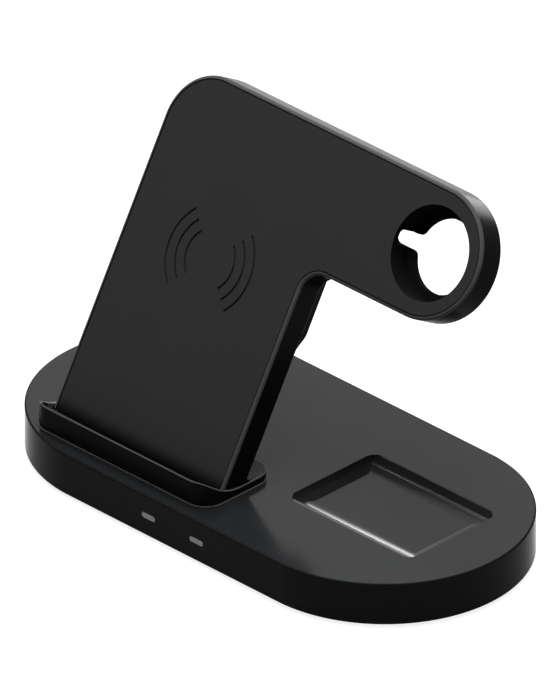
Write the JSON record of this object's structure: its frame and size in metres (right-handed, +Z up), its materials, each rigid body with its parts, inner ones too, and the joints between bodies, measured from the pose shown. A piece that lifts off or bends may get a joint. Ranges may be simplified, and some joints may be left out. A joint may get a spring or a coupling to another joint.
{
  "type": "multi-device wireless charger",
  "caption": "Long round-ended base with an earbud tray, a leaning phone stand on a lipped ledge, and an arm with a keyhole seat for a watch charging puck.",
  "frame": {"origin": "middle of the base's footprint, on the surface the feet stand on", "axes": "+X along the base towards the watch arm, +Y to the back, +Z up"},
  "size_m": [0.182, 0.092, 0.1163],
  "materials": {
    "base_plastic": "fine matte black moulding",
    "ledge_plastic": "satin black moulding",
    "stand_plastic": "semi-gloss black moulding",
    "panel_plastic": "soft-touch matte black",
    "cover_plastic": "fine matte black moulding",
    "light_pipe": "frosted clear moulding",
    "foot_rubber": "matt black",
    "screw_steel": "blackened steel",
    "plate_steel": "zinc-plated sheet",
    "socket_metal": "nickel-plated sheet",
    "socket_plastic": "matt black",
    "board_laminate": "green solder mask",
    "component_black": "matt black",
    "lamp_white": "pale yellow",
    "coil_copper": "lacquered copper",
    "ferrite": "dark grey sinter",
    "carrier_plastic": "natural grey",
    "harness_jacket": "black jacket"
  },
  "bodies": {
    "root": {"base_shell": "base_plastic", "base_plate": "base_plastic", "base_screws": "screw_steel", "ballast_plate": "plate_steel", "main_board": "board_laminate", "board_screws": "screw_steel", "board_components": "component_black", "indicator_leds": "lamp_white", "led_light_pipe_left": "light_pipe", "led_light_pipe_right": "light_pipe", "inlet_socket_shell": "socket_metal", "inlet_socket_tongue": "socket_plastic", "earbud_coil": "coil_copper", "earbud_ferrite": "ferrite", "phone_ledge": "ledge_plastic", "stand_shell": "stand_plastic", "stand_front_panel": "panel_plastic", "cable_cover": "cover_plastic", "cover_screws": "screw_steel", "phone_coil_upper": "coil_copper", "phone_coil_lower": "coil_copper", "phone_ferrite": "ferrite", "coil_carrier": "carrier_plastic", "carrier_screws": "screw_steel", "anchor_plate": "plate_steel", "anchor_screws": "screw_steel", "stand_harness": "harness_jacket", "rubber_foot_front_left": "foot_rubber", "rubber_foot_front_right": "foot_rubber", "rubber_foot_rear_left": "foot_rubber", "rubber_foot_rear_right": "foot_rubber"}
  },
  "joints": []
}
